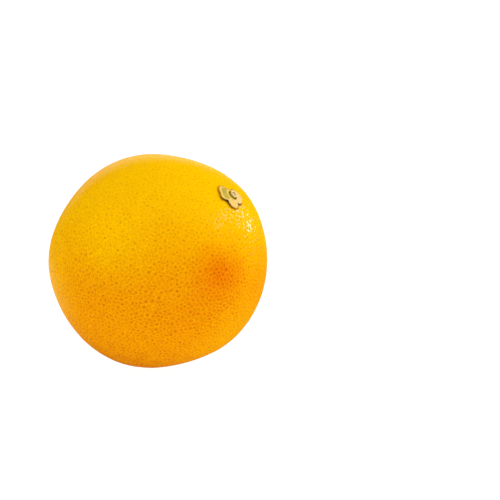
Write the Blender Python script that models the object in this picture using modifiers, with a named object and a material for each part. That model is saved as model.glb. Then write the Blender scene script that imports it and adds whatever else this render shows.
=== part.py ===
"""A whole grapefruit at rest, with its dried calyx and the woody end of its stem.

The origin is the middle of the small flat spot that the fruit rests on, +Z is up and
+Y points away from the viewer. The fruit's stem end leans over to the right and a
little forward. The rind's form is a nearly round body with gentle swells and hollows,
and it is covered with shallow pits, larger and fewer than the oil glands of the real
rind.
"""

import math
import random

import bmesh
import bpy
from mathutils import Vector

MM = 0.001
GAP = 0.3 * MM                      # clearance between pieces that touch on the real fruit

# Form of the fruit
BODY_RADIUS = 49.7 * MM             # the round body, without its swells and hollows
BELT = (                            # degrees round a leaning belt from +X, and rise
    (35, 0.9 * MM),
    (78, -1.1 * MM),
    (148, -0.7 * MM),
    (178, 1.0 * MM),
    (240, 0.6 * MM),
    (285, -1.4 * MM),
)
BELT_LEAN = math.radians(18)        # how far the belt leans back from upright
SWELL_BREADTH = math.radians(20)
BLOSSOM_FLATNESS = 0.8 * MM         # the blossom end, opposite the stem, is a little flat
BLOSSOM_BREADTH = math.radians(18)
DIMPLE_DEPTH = 0.5 * MM             # shallow hollow round the stem end
DIMPLE_BREADTH = math.radians(9)
REST_FLAT_RADIUS = 7.0 * MM         # the spot that the weight presses flat
SHORTEST_EDGE = 0.5 * MM

# Direction of the stem end, seen from the middle of the fruit
STEM_TURN = math.radians(-20)       # about +Z, from +X
STEM_RISE = math.radians(43.7)      # above the horizontal

# Pits in the rind
PIT_COUNT = 1500
PIT_DEPTH = 0.25 * MM
PIT_SCATTER = 0.2                   # part of the pits' spacing
PEBBLE_HEIGHT = 0.12 * MM           # unevenness of the net between the pits
RIND_SEED = 12
PIT_FREE_STEM = 9.0 * MM            # smooth rind under the calyx
PIT_FREE_REST = 8.0 * MM            # smooth rind round the flat spot
PIT_FADE = 4.0 * MM                 # width over which the pits reach their full depth
BLOSSOM_SCAR_DEPTH = 0.7 * MM       # the small hollow opposite the stem
SCAR_ANGLE = math.radians(0.1)      # only the pit right on the stem axis

# Calyx: five dried sepals, grown together round the stem
SEPALS = (                          # direction in degrees, length and half width
    (54, 6.0 * MM, 5.1 * MM),
    (58, 6.8 * MM, 2.7 * MM),
    (227, 7.9 * MM, 5.2 * MM),
    (250, 8.6 * MM, 2.9 * MM),
    (303, 8.1 * MM, 4.0 * MM),
)
SEPAL_BLUNTNESS = 2.3               # power of the superellipse: 2 is an oval, 4 a blunt tongue
SEPAL_TAPER = 0.25                  # 0 is as broad at the foot as at the tip
REACH_ROUNDS = 8                    # rounds that find a sepal's outline
CALYX_TURN = math.radians(-86.5)    # from the uphill direction on the rind
CALYX_CORE = 3.3 * MM               # radius where the sepals are one disc
CALYX_THICKNESS = 0.8 * MM
CALYX_LIFT = 0.3 * MM               # how far the tips stand off the rind
TIP_REACH = 8.0 * MM                # distance from the stem where the lift is full
CALYX_STEPS = 72                    # points round the outline
CALYX_RINGS = 4

# Stem end: a woody peg through the calyx, in a socket of the fruit
STUB_RADIUS = 1.8 * MM
SOCKET_RADIUS = STUB_RADIUS + GAP
SOCKET_DEPTH = 2.0 * MM
CUTTER_HEAD = 5.0 * MM              # how far the socket's cutter reaches over the rind
STUB_BOTTOM = GAP - SOCKET_DEPTH
STUB_PROFILE = (                    # radius, and height over the rind
    (0, 1.8 * MM),
    (0.45 * MM, 1.74 * MM),
    (0.7 * MM, 1.55 * MM),
    (1.0 * MM, 1.88 * MM),
    (1.35 * MM, 2.1 * MM),
    (1.65 * MM, 1.85 * MM),
    (1.7 * MM, 1.1 * MM),
    (STUB_RADIUS, 0.3 * MM),
    (1.5 * MM, STUB_BOTTOM),
    (0, STUB_BOTTOM),
)
ROUND_STEPS = 28                    # sides of the peg and its socket

STEM = Vector((
    math.cos(STEM_RISE) * math.cos(STEM_TURN),
    math.cos(STEM_RISE) * math.sin(STEM_TURN),
    math.sin(STEM_RISE),
))
DOWN = Vector((0, 0, -1))


def clear_scene():
    for item in list(bpy.data.objects):
        bpy.data.objects.remove(item, do_unlink=True)


def new_collection(name):
    collection = bpy.data.collections.new(name)
    bpy.context.scene.collection.children.link(collection)
    return collection


def new_material(name, color, roughness):
    material = bpy.data.materials.new(name)
    material.use_nodes = True
    shader = material.node_tree.nodes["Principled BSDF"]
    shader.inputs["Base Color"].default_value = (*color, 1)
    shader.inputs["Roughness"].default_value = roughness
    shader.inputs["Metallic"].default_value = 0
    return material


def new_object(name, bm, collection, material=None):
    mesh = bpy.data.meshes.new(name)
    bm.to_mesh(mesh)
    bm.free()
    if material:
        mesh.materials.append(material)
    item = bpy.data.objects.new(name, mesh)
    collection.objects.link(item)
    return item


def bump(angle, breadth):
    """A smooth hill: 1 at its middle, falling away over the angle breadth."""
    return math.exp(-((angle / breadth) ** 2))


def ramp(value, low, high):
    """0 below low, 1 above high and an even rise between."""
    return min(max((value - low) / (high - low), 0), 1)


def belt_direction(degrees):
    angle = math.radians(degrees)
    return Vector((
        math.cos(angle),
        math.sin(angle) * math.sin(BELT_LEAN),
        math.sin(angle) * math.cos(BELT_LEAN),
    ))


UNEVENNESS = [                      # direction, rise and breadth of each swell or hollow
    *((belt_direction(degrees), rise, SWELL_BREADTH) for degrees, rise in BELT),
    (-STEM, -BLOSSOM_FLATNESS, BLOSSOM_BREADTH),
    (STEM, -DIMPLE_DEPTH, DIMPLE_BREADTH),
]


def rind_radius(direction):
    """Distance from the middle of the fruit to its smooth rind, without pits."""
    radius = BODY_RADIUS
    for middle, rise, breadth in UNEVENNESS:
        radius += rise * bump(direction.angle(middle), breadth)
    return radius


def rest_height():
    """Height of the fruit's middle over its flat spot."""
    half_angle = math.asin(REST_FLAT_RADIUS / rind_radius(DOWN))
    return rind_radius(DOWN) * math.cos(half_angle)


def relief_share(direction):
    """How much of the relief there is: none under the calyx and round the flat spot."""
    from_stem = direction.angle(STEM) * BODY_RADIUS
    from_rest = direction.angle(DOWN) * BODY_RADIUS
    clear_of_stem = ramp(from_stem, PIT_FREE_STEM, PIT_FREE_STEM + PIT_FADE)
    clear_of_rest = ramp(from_rest, PIT_FREE_REST, PIT_FREE_REST + PIT_FADE)
    return clear_of_stem * clear_of_rest


def pit_directions(rng):
    """Directions spread evenly by the golden angle, then scattered a little."""
    golden = math.pi * (3 - math.sqrt(5))
    spacing = math.sqrt(4 * math.pi / PIT_COUNT)
    found = [-STEM]
    for index in range(PIT_COUNT):
        height = 1 - 2 * (index + 0.5) / PIT_COUNT
        width = math.sqrt(1 - height ** 2)
        point = Vector((width * math.cos(golden * index), width * math.sin(golden * index), height))
        point += spacing * PIT_SCATTER * Vector([rng.uniform(-1, 1) for _ in range(3)])
        point.normalize()
        if point.angle(-STEM) > spacing:
            found.append(point)
    return found


def make_fruit(collection, material):
    """The pits' middles are joined to a hull of triangles. A net vertex is put in each
    triangle, and each edge from pit to pit is turned to run along the net, so that
    every pit is a small cone inside a raised net.
    """
    rng = random.Random(RIND_SEED)
    bm = bmesh.new()
    for direction in pit_directions(rng):
        bm.verts.new(direction)
    bmesh.ops.convex_hull(bm, input=bm.verts[:])
    pits = set(bm.verts)
    pit_edges = bm.edges[:]
    bmesh.ops.poke(bm, faces=bm.faces[:])
    bmesh.ops.rotate_edges(bm, edges=pit_edges)

    for vertex in bm.verts:
        direction = vertex.co.normalized()
        is_scar = direction.angle(-STEM) < SCAR_ANGLE
        if is_scar:
            relief = -BLOSSOM_SCAR_DEPTH
        elif vertex in pits:
            relief = -PIT_DEPTH * rng.uniform(0.6, 1.4)
        else:
            relief = PEBBLE_HEIGHT * rng.uniform(-1, 1)
        vertex.co = direction * (rind_radius(direction) + relief * relief_share(direction))

    cut_spot(bm)
    bmesh.ops.recalc_face_normals(bm, faces=bm.faces[:])
    fruit = new_object("fruit", bm, collection, material)
    fruit.location.z = rest_height()
    fruit.data.shade_smooth()
    fruit.data.set_sharp_from_angle(angle=math.radians(40))
    return fruit


def cut_spot(bm):
    """Cuts the fruit off flat where it rests, and closes the slivers along the cut."""
    bmesh.ops.bisect_plane(
        bm,
        geom=bm.verts[:] + bm.edges[:] + bm.faces[:],
        plane_co=DOWN * rest_height(),
        plane_no=DOWN,
        clear_outer=True,
    )
    bmesh.ops.dissolve_degenerate(bm, dist=SHORTEST_EDGE, edges=bm.edges[:])
    rim = [edge for edge in bm.edges if edge.is_boundary]
    for edge in rim:
        for vertex in edge.verts:
            vertex.co.z = -rest_height()
    bmesh.ops.edgeloop_fill(bm, edges=rim)


def add_stem_axis(collection):
    """An empty at the fruit's middle, with its Z axis along the stem."""
    axis = bpy.data.objects.new("stem_axis", None)
    collection.objects.link(axis)
    axis.location.z = rest_height()
    axis.rotation_mode = "QUATERNION"
    axis.rotation_quaternion = STEM.to_track_quat("Z", "Y")
    return axis


def height_under(x, y):
    """Height of the rind along the stem axis, at a place beside that axis."""
    turn = STEM.to_track_quat("Z", "Y")
    height = rind_radius(STEM)
    for _ in range(4):
        place = turn @ Vector((x, y, height))
        height = math.sqrt(rind_radius(place.normalized()) ** 2 - x ** 2 - y ** 2)
    return height


def cut_socket(fruit, collection, axis):
    """The round hole in the fruit that holds the peg."""
    bm = bmesh.new()
    top = rind_radius(STEM) + CUTTER_HEAD
    bottom = rind_radius(STEM) - SOCKET_DEPTH
    bmesh.ops.create_cone(
        bm, cap_ends=True, segments=ROUND_STEPS,
        radius1=SOCKET_RADIUS, radius2=SOCKET_RADIUS, depth=top - bottom,
    )
    bmesh.ops.translate(bm, vec=(0, 0, (top + bottom) / 2), verts=bm.verts[:])
    cutter = new_object("socket_cutter", bm, collection)
    cutter.parent = axis
    cutter.hide_render = True
    cutter.display_type = "WIRE"
    cut = fruit.modifiers.new("socket", "BOOLEAN")
    cut.operation = "DIFFERENCE"
    cut.object = cutter


def calyx_reach(angle):
    """Distance from the stem to the calyx's outline: the furthest of its sepals."""
    furthest = CALYX_CORE
    for degrees, length, half_width in SEPALS:
        forward = math.cos(angle - math.radians(degrees)) / length
        sideways = abs(math.sin(angle - math.radians(degrees))) / half_width
        if forward > 0:
            reach = length
            for _ in range(REACH_ROUNDS):
                taper = (reach * forward) ** SEPAL_TAPER
                both = forward ** SEPAL_BLUNTNESS + (sideways / taper) ** SEPAL_BLUNTNESS
                reach = both ** (-1 / SEPAL_BLUNTNESS)
            furthest = max(furthest, reach)
    return furthest


def make_calyx(collection, material, axis):
    """A sheet grown ring by ring from the hole round the stem to the outline. It lies
    on the rind, lifts towards its tips and is then given its thickness.
    """
    bm = bmesh.new()
    hole = SOCKET_RADIUS
    ring = bmesh.ops.create_circle(bm, segments=CALYX_STEPS, radius=hole)["verts"]
    edges = bm.edges[:]
    angles = {vertex: math.atan2(vertex.co.y, vertex.co.x) for vertex in ring}
    for step in range(1, CALYX_RINGS + 1):
        part = step / CALYX_RINGS
        grown = bmesh.ops.extrude_edge_only(bm, edges=edges)["geom"]
        edges = [piece for piece in grown if isinstance(piece, bmesh.types.BMEdge)]
        edges = [edge for edge in edges if len(edge.link_faces) == 1]
        for vertex in [piece for piece in grown if isinstance(piece, bmesh.types.BMVert)]:
            angle = math.atan2(vertex.co.y, vertex.co.x)
            distance = hole + (calyx_reach(angle) - hole) * part
            vertex.co = Vector((distance * math.cos(angle), distance * math.sin(angle), 0))

    for vertex in bm.verts:
        distance = vertex.co.xy.length
        angle = math.atan2(vertex.co.y, vertex.co.x) + CALYX_TURN
        lift = CALYX_LIFT * ramp(distance, CALYX_CORE, TIP_REACH)
        x = distance * math.cos(angle)
        y = distance * math.sin(angle)
        vertex.co = Vector((x, y, height_under(x, y) + GAP + lift))

    bmesh.ops.recalc_face_normals(bm, faces=bm.faces[:])
    if sum(face.normal.z for face in bm.faces) < 0:
        bmesh.ops.reverse_faces(bm, faces=bm.faces[:])
    calyx = new_object("calyx", bm, collection, material)
    calyx.parent = axis
    thickness = calyx.modifiers.new("thickness", "SOLIDIFY")
    thickness.thickness = CALYX_THICKNESS
    thickness.offset = 1
    calyx.data.shade_smooth()
    calyx.data.set_sharp_from_angle(angle=math.radians(50))
    return calyx


def make_stem_stub(collection, material, axis):
    """A peg turned about the stem axis, with a rounded rim and a small raised middle."""
    rind = rind_radius(STEM)
    bm = bmesh.new()
    points = [bm.verts.new((x, 0, rind + z)) for x, z in STUB_PROFILE]
    for upper, lower in zip(points, points[1:]):
        bm.edges.new((upper, lower))
    stub = new_object("stem_stub", bm, collection, material)
    stub.parent = axis
    turned = stub.modifiers.new("turned", "SCREW")
    turned.angle = math.tau
    turned.steps = ROUND_STEPS
    turned.render_steps = ROUND_STEPS
    turned.use_merge_vertices = True
    turned.merge_threshold = 0.00001
    turned.use_smooth_shade = True
    return stub


def main():
    clear_scene()
    parts = new_collection("grapefruit")
    cutters = new_collection("cutters")
    rind = new_material("rind", (0.88, 0.36, 0.008), 0.38)
    sepal = new_material("dried_sepal", (0.60, 0.43, 0.13), 0.75)
    wood = new_material("stem_wood", (0.62, 0.47, 0.30), 0.8)

    axis = add_stem_axis(parts)
    fruit = make_fruit(parts, rind)
    cut_socket(fruit, cutters, axis)
    make_calyx(parts, sepal, axis)
    make_stem_stub(parts, wood, axis)


main()
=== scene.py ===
"""The looks of a whole grapefruit: its pored rind, its dried calyx and its stem end.

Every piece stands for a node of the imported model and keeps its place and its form. All
sizes are in metres. The origin is the middle of the flat spot that the fruit rests on,
+Z is up and +Y points away from the viewer. The pieces are modelled about the middle of
the fruit and moved up to their place when they are finished.
"""

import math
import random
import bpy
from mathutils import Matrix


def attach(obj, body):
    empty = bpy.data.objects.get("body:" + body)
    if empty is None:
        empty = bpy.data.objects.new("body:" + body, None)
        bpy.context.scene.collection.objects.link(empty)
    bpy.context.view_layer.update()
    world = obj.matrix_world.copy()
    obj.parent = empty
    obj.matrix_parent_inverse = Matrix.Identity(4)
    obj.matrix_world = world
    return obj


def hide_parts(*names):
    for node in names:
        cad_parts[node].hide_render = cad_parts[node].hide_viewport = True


bl_info = {
    "name": "Grapefruit",
    "version": (1, 0, 0),
    "blender": (4, 5, 0),
    "location": "3D View > Sidebar > Grapefruit",
    "description": "Models the rind, calyx and stem end of a grapefruit and lights them",
    "category": "Add Mesh",
}

from collections import namedtuple

import bmesh
import bpy
from bpy.props import FloatProperty, FloatVectorProperty, IntProperty, PointerProperty
from bpy.types import NodeSocket, Operator, Panel, PropertyGroup
from mathutils import Matrix, Vector, noise

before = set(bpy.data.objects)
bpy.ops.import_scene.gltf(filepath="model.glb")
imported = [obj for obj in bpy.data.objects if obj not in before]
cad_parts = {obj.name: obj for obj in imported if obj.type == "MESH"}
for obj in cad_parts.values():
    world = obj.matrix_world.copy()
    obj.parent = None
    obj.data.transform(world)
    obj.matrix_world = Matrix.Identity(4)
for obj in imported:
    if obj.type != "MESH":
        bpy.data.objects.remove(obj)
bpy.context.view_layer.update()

MM = 0.001
DOWN = Vector((0, 0, -1))

# Form of the fruit, the same as that of the model's own fruit
BODY_RADIUS = 49.7 * MM
BELT = (                        # degrees round a leaning belt from +X, and rise
    (35, 0.9 * MM),
    (78, -1.1 * MM),
    (148, -0.7 * MM),
    (178, 1.0 * MM),
    (240, 0.6 * MM),
    (285, -1.4 * MM),
)
BELT_LEAN = math.radians(18)
SWELL_BREADTH = math.radians(20)
BLOSSOM_FLATNESS = 0.8 * MM
BLOSSOM_BREADTH = math.radians(18)
DIMPLE_DEPTH = 0.5 * MM
DIMPLE_BREADTH = math.radians(9)
REST_FLAT_RADIUS = 7.0 * MM
STEM_TURN = math.radians(-20)   # direction of the stem end, about +Z from +X
STEM_RISE = math.radians(43.7)  # and above the horizontal
STEM = Vector((
    math.cos(STEM_RISE) * math.cos(STEM_TURN),
    math.cos(STEM_RISE) * math.sin(STEM_TURN),
    math.sin(STEM_RISE),
))

# Relief of the rind
RIND_SEED = 12
GLAND_FREE_STEM = 3.5 * MM      # smooth rind under the middle of the calyx
GLAND_FREE_REST = 7.5 * MM      # smooth rind round the flat spot
GLAND_FADE = 3.0 * MM
GLAND_SCATTER = 0.45            # part of the glands' spacing
EVENING_ROUNDS = 3              # how often the scattered glands are spaced out again
GLAND_VARIETY = 0.4             # how much weaker the weakest gland is
GLAND_RARITY = 1.3              # above 1, weak glands are rarer than strong ones
GLAND_STEEPNESS = 2.2           # 1 is a plain cone, more is a flatter rim
SHINY_SHARE = 0.35              # of the knots in the net between the glands
ROLLING_HEIGHT = 0.09 * MM      # slow unevenness of the whole rind
ROLLING_LENGTH = 9.0 * MM
PEBBLE_HEIGHT = 0.07 * MM       # unevenness from one gland to the next
PEBBLE_LENGTH = 1.7 * MM
SCAR_RADIUS = 3.2 * MM          # the hollow at the blossom end
SCAR_DEPTH = 0.5 * MM
SHORTEST_EDGE = 0.12 * MM
SOCKET_RADIUS = 2.1 * MM        # the hole that holds the stem end
SOCKET_DEPTH = 2.0 * MM
SOCKET_MARGIN = 1.2 * MM        # rind round the hole that is made anew
SOCKET_STEPS = 48

# Colour of the rind. Directions are from the middle of the fruit, and a range is where
# something begins and where it is full.
# Partly the rind's own ripening, partly painted shade: more orange towards the bottom and front
RIPE_AND_SHADE_DIRECTION = Vector((0.09, 0.60, 0.80))  # from the orange side to the yellow side
RIPE_AND_SHADE_RANGE = (-0.70, 0.40)      # of the yellow, along it, in radii
RIPE_AND_SHADE_DRIFT = 0.5                # how far that border drifts, in radii
RIPE_AND_SHADE_DRIFT_LENGTH = 30 * MM
Blotch = namedtuple("Blotch", "direction radius strength tint")
BLOTCHES = (                    # laid over each other in this order
    Blotch(Vector((-0.34, -0.76, 0.56)), 30 * MM, 1.0, "sunny"),    # bright patch on the left
    Blotch(Vector((0.93, -0.33, -0.05)), 27 * MM, 0.35, "blush"),   # orange right side
    # Painted shade: the rind darkens to deep orange at the bottom, round the flat spot.
    Blotch(Vector((-0.22, -0.08, -0.97)), 54 * MM, 1.0, "underside"),
    Blotch(Vector((-0.64, 0.06, 0.77)), 30 * MM, 0.3, "orange"),    # painted shade: deeper orange on the upper left
    Blotch(Vector((-0.93, -0.35, -0.02)), 34 * MM, 0.5, "sunny"),   # bright left side
    Blotch(Vector((0.64, -0.60, -0.48)), 30 * MM, 0.4, "sunny"),    # bright lower right
    Blotch(Vector((0.42, -0.88, -0.20)), 34 * MM, 0.3, "blush"),    # faint ring round the next
    Blotch(Vector((0.59, -0.79, 0.14)), 19 * MM, 1.0, "blush"),     # dark orange patch
)
BLOTCH_WANDER = 0.45            # how far the edge of a blotch wanders, part of its radius
BLOTCH_EDGE_LENGTH = 5 * MM
FLECK_LENGTH = 0.6 * MM
FLECK_RED = (0.87, 1.11)        # of the darkest and of the lightest flecks
FLECK_GREEN = (0.72, 1.17)      # and their blue
SMOOTH_DIRECTION = Vector((0.25, 0.0, 0.97))  # toward the side where dots and flecks are faint
SMOOTH_RANGE = (0.95, -0.1)     # of the dots, along it, in radii
FAINTEST_DOTS = 0.5             # their strength at its start
DOT_RANGE = (0.48, 0.94)        # of the dark dots, in the gland's strength
NET_RANGE = (0.38, 0.0)         # of the light net between them
DOT_RAGGEDNESS = 0.35           # how much the flecks change both
CORK_RANGE = (0.9 * SCAR_RADIUS, 0.3 * SCAR_RADIUS)  # of the scar's colour
CORK_WANDER = 2.5 * MM
NOISE_RANGE = (0.3, 0.7)        # between which most of the rind's noise lies

# Gloss of the rind
POLISH_DIRECTION = Vector((0.80, -0.37, 0.49))  # where the wax shines in spots
POLISH_RANGE = (26 * MM, 13 * MM)  # of that shine, from there
SPOT_RANGE = (0.25, 0.6)        # of a spot, in the layer "shine"
SPOT_COAT = (0.1, 0.95)         # coat weight in the spots, away from there and there
PLAIN_COAT = (0.14, 0.05)       # and beside the spots
COAT_ROUGHNESS = 0.09
WAX_LENGTH = 4 * MM
WAX_ROUGHNESS = (0.36, 0.46)
CORK_ROUGHNESS = 0.85

# Form of the calyx
Sepal = namedtuple("Sepal", "degrees length half_width tip_lift greenness")
SEPALS = (
    Sepal(54, 6.0 * MM, 5.1 * MM, 0.25 * MM, 0.1),
    Sepal(58, 6.8 * MM, 2.7 * MM, 0.30 * MM, 0.0),
    Sepal(227, 7.8 * MM, 5.1 * MM, 0.25 * MM, 1.0),
    Sepal(250, 8.5 * MM, 2.9 * MM, 0.35 * MM, 0.85),
    Sepal(303, 7.9 * MM, 4.0 * MM, 0.35 * MM, 0.3),
)
SEPAL_BLUNTNESS = 2.3           # power of the superellipse that a sepal follows
SEPAL_TAPER = 0.25              # 0 is as broad at the foot as at the tip
SEPAL_BLENDING = 8              # power that favours the sepal that reaches furthest
REACH_ROUNDS = 8                # rounds that find a sepal's outline
CALYX_TURN = math.radians(-86.5)  # from the uphill direction on the rind
CALYX_CORE = 3.3 * MM
CALYX_HOLE = 1.94 * MM
CALYX_STEPS = 320
SECTION_STEPS = 52
SECTION_RADIUS = 1.0 * MM       # of the ring before it is drawn out to the outline
EDGE_ROUNDNESS = 0.5            # power of the sheet's edge: 1 is round, 0 square
CALYX_REST = 0.03 * MM          # air under the middle of the calyx
OUTLINE_RAGGEDNESS = 0.035      # part of the reach
COARSE_RAGS = 7                 # rags of the outline in a radian
FINE_RAGS = 23
FINE_RAG_HEIGHT = 0.6           # in heights of a coarse one
LIFT_REACH = 8.0 * MM           # where the tip of a sepal is fully lifted
CURL_HEIGHT = 0.10 * MM         # how far the edges stand up
CURL_REACH = 6.0 * MM           # where they fully do
CURL_STEEPNESS = 5
FRINGE_LENGTH = 0.10 * MM       # how far the burnt underside reaches past the top, as a painted shadow line
FRINGE_BREADTH = 0.30 * MM
FRINGE_RANGE = (-0.6, 0.4)      # of it, from the top of the sheet at -1 to its foot at 1
UPPER_FRINGE = 0.7 * MM         # more of it on the uphill side, as a painted shadow line
UPPER_SIDE = math.radians(148)
UPPER_BREADTH = math.radians(52)
BAYS = (                        # direction, and how far the underside shows there, nearly black as painted shadow
    (math.radians(272), 0.40 * MM),
    (math.radians(349), 0.45 * MM),
)
BAY_BREADTH = math.radians(24)
COLLAR_HEIGHT = 0.25 * MM       # the raised ring round the stem end
COLLAR_RADIUS = 2.7 * MM
COLLAR_BREADTH = 0.45 * MM
MIDRIB_HEIGHT = 0.10 * MM
MIDRIB_BREADTH = 0.35 * MM
WRINKLE_HEIGHT = 0.09 * MM
WRINKLE_LENGTH = 1.1 * MM
FIBRE_BREADTH = 1 / 9           # in radians round the stem end
FIBRE_LENGTH = 1.6 * MM

# Colour of the calyx
RIM_RANGE = (0.72, 0.92)        # of the pale rim, as a share of the way to the outline
EDGE_RANGE = (0.96, 1.0)        # of the burnt edge, which is partly a painted shadow line
UNDER_RANGE = (-0.85, -0.35)    # of the underside, partly painted shadow, as for the fringe
STRAW_RANGE = (0.05, 0.3)       # of straw over pale, in greenness
OLIVE_RANGE = (0.4, 0.9)        # of olive with a yellow rim over straw
OLIVE_START = (2.6 * MM, 4.2 * MM)  # of the olive, from the stem axis
GROOVE_RANGE = (2.65 * MM, 2.25 * MM)  # of the painted shade in the groove round the stem end
FIBRE_NOISE = (0.25, 0.75)      # between which most of the fibres' noise lies
FIBRE_SHADES = (0.74, 1.08)     # of the darkest and of the lightest fibres
FIBRE_ROUGHNESS = (0.85, 0.6)
FIBRE_SHARE = 0.7               # how strongly the fibres show
RIM_SHARE = 0.7                 # and the pale rim
SPECK_SHARE = 0.45              # and the burnt specks
EDGE_SHARE = 0.8                # and the burnt edge with its painted shadow line

# Form and colour of the stem end
STUB_PROFILE = (                # radius, and height over the rind, in millimetres
    (0.00, 1.80), (0.28, 1.84), (0.48, 1.72), (0.64, 1.54), (0.82, 1.58),
    (1.00, 1.88), (1.20, 2.08), (1.38, 2.11), (1.56, 2.02), (1.67, 1.80),
    (1.70, 1.45), (1.68, 1.05), (1.72, 0.65), (1.79, 0.30), (1.72, -0.40),
    (1.50, -1.70), (0.00, -1.70),
)
STUB_STEPS = 56
MERGE_DISTANCE = 0.001 * MM     # of the corners that meet on the axis
STUB_ROUNDNESS = 0.6            # how round it is made between the profile's points
STUB_UNEVENNESS = 0.06 * MM
UNEVEN_RANGE = (0.3 * MM, 0.9 * MM)  # of it, over the rind
UNEVEN_LIFT = 0.4 * MM          # more turns its ridges upwards
RIDGE_LENGTH = 0.55 * MM
RIDGE_STRETCH = 0.4             # below 1, they are longer along the stem than across
CRACK_LENGTH = 0.9 * MM
CRACK_RARITY = 0.25
CRACK_DEPTH = 2.5               # in heights of a ridge
TOP_RANGE = (1.4 * MM, 1.9 * MM)  # of the top over the olive side, which is partly painted shade, over the rind
HOLLOW_RANGE = (0.35 * MM, 0.6 * MM)  # of the sunken ring, painted dark as shade, from the stem axis
BARK_RANGE = (0.8 * MM, 1.15 * MM)  # of the bark round it
BARK_WANDER = 0.5 * MM          # of both borders
WOOD_ROUGHNESS = (0.7, 0.9)

# The photograph's view
PICTURE_SIDE = 500              # pixels
FRUIT_IN_PICTURE = (159.4, 260.7)  # pixel of the fruit's middle
CAMERA_RISE = math.radians(18)
CAMERA_DISTANCE = 544.3 * MM
LENS = 84.96                    # millimetres, for a sensor of SENSOR_WIDTH
SENSOR_WIDTH = 36.0

# Floor and lights
FLOOR_RADIUS = 4.0
FLOOR_STEPS = 96
BRIGHT_FLOOR = Vector((-0.09, 0.11, 0.0))  # middle of the spot that shows bright in gloss
BRIGHT_FLOOR_RANGE = (0.06, 0.14)  # of the dim floor round it, from that middle
BRIGHT_FLOOR_SHARE = 0.7        # of the floor's own light
DIM_FLOOR_SHARE = 0.1
BACKDROP_DIRECTION = Vector((-0.18, 0.95, 0.02))  # of the bright patch behind the fruit
BACKDROP_RANGE = (0.86, 0.97)   # of it, in the cosine of the angle from its middle
Softbox = namedtuple("Softbox", "direction distance width height in_gloss")
SOFTBOXES = {
    "window": Softbox(Vector((0.773, 0.583, 0.250)), 0.9, 0.26, 0.38, in_gloss=True),
    "skylight": Softbox(Vector((0.842, 0.103, 0.53)), 1.0, 0.55, 0.20, in_gloss=True),
    "side": Softbox(Vector((0.84, 0.06, 0.54)), 1.0, 0.7, 0.7, in_gloss=False),
    "top": Softbox(Vector((0.1, -0.1, 1.0)), 1.4, 1.6, 1.6, in_gloss=False),
}


def bump(distance, breadth):
    """A smooth hill: 1 at its middle, falling away over the breadth."""
    return math.exp(-((distance / breadth) ** 2))


def ramp(value, low, high):
    """0 below low, 1 above high and an even rise between."""
    return min(max((value - low) / (high - low), 0), 1)


def belt_direction(degrees):
    angle = math.radians(degrees)
    return Vector((
        math.cos(angle),
        math.sin(angle) * math.sin(BELT_LEAN),
        math.sin(angle) * math.cos(BELT_LEAN),
    ))


UNEVENNESS = [                  # direction, rise and breadth of each swell or hollow
    *((belt_direction(degrees), rise, SWELL_BREADTH) for degrees, rise in BELT),
    (-STEM, -BLOSSOM_FLATNESS, BLOSSOM_BREADTH),
    (STEM, -DIMPLE_DEPTH, DIMPLE_BREADTH),
]


def rind_radius(direction):
    """Distance from the middle of the fruit to its smooth rind, without glands."""
    radius = BODY_RADIUS
    for middle, rise, breadth in UNEVENNESS:
        radius += rise * bump(direction.angle(middle), breadth)
    return radius


def rest_height():
    """Height of the fruit's middle over its flat spot."""
    half_angle = math.asin(REST_FLAT_RADIUS / rind_radius(DOWN))
    return rind_radius(DOWN) * math.cos(half_angle)


MIDDLE = Vector((0, 0, rest_height()))
TO_STEM_AXIS = STEM.to_track_quat("Z", "Y")  # turns +Z to the stem's direction


def height_under(x, y):
    """Height of the rind along the stem axis, at a place beside that axis."""
    height = rind_radius(STEM)
    for _ in range(3):
        place = TO_STEM_AXIS @ Vector((x, y, height))
        height = math.sqrt(rind_radius(place.normalized()) ** 2 - x ** 2 - y ** 2)
    return height


# Settings

COLOR = {"subtype": "COLOR", "min": 0, "max": 1}
LENGTH = {"subtype": "DISTANCE", "unit": "LENGTH"}
POWER = {"subtype": "POWER", "unit": "POWER", "min": 0, "max": 500}


class RindSettings(PropertyGroup):
    gland_count: IntProperty(
        name="Oil Glands", description="Number of oil glands in the rind",
        default=8800, min=500, max=10500,
    )
    gland_depth: FloatProperty(
        name="Gland Depth", description="Depth of the deepest glands",
        default=0.30 * MM, min=0, max=0.5 * MM, **LENGTH,
    )
    # Yellow and orange are partly the rind's own colour and partly painted shade: orange where
    # less light falls.
    yellow: FloatVectorProperty(
        name="Yellow", description="Rind colour at the top and back",
        default=(0.95, 0.51, 0.0), **COLOR,
    )
    orange: FloatVectorProperty(
        name="Orange", description="Rind colour at the bottom and front",
        default=(0.89, 0.302, 0.0), **COLOR,
    )
    sunny: FloatVectorProperty(
        name="Bright Patch", description="Colour of the bright patches",
        default=(1.0, 0.52, 0.0), **COLOR,
    )
    blush: FloatVectorProperty(
        name="Blush", description="Colour of the dark orange patch",
        default=(0.84, 0.182, 0.0), **COLOR,
    )
    # Painted shade at the bottom, round the flat spot.
    underside: FloatVectorProperty(
        name="Underside", description="Colour of the rind round the flat spot",
        default=(0.50, 0.08, 0.0), **COLOR,
    )
    gland: FloatVectorProperty(
        name="Gland Tint", description="Multiplies the rind colour in the glands",
        default=(0.69, 0.53, 0.2), **COLOR,
    )
    net: FloatVectorProperty(
        name="Net Tint", description="Lightens the rind colour between the glands",
        default=(0.04, 0.12, 0.0), **COLOR,
    )
    cork: FloatVectorProperty(
        name="Cork", description="Colour of the scar at the blossom end",
        default=(0.36, 0.16, 0.02), **COLOR,
    )


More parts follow.
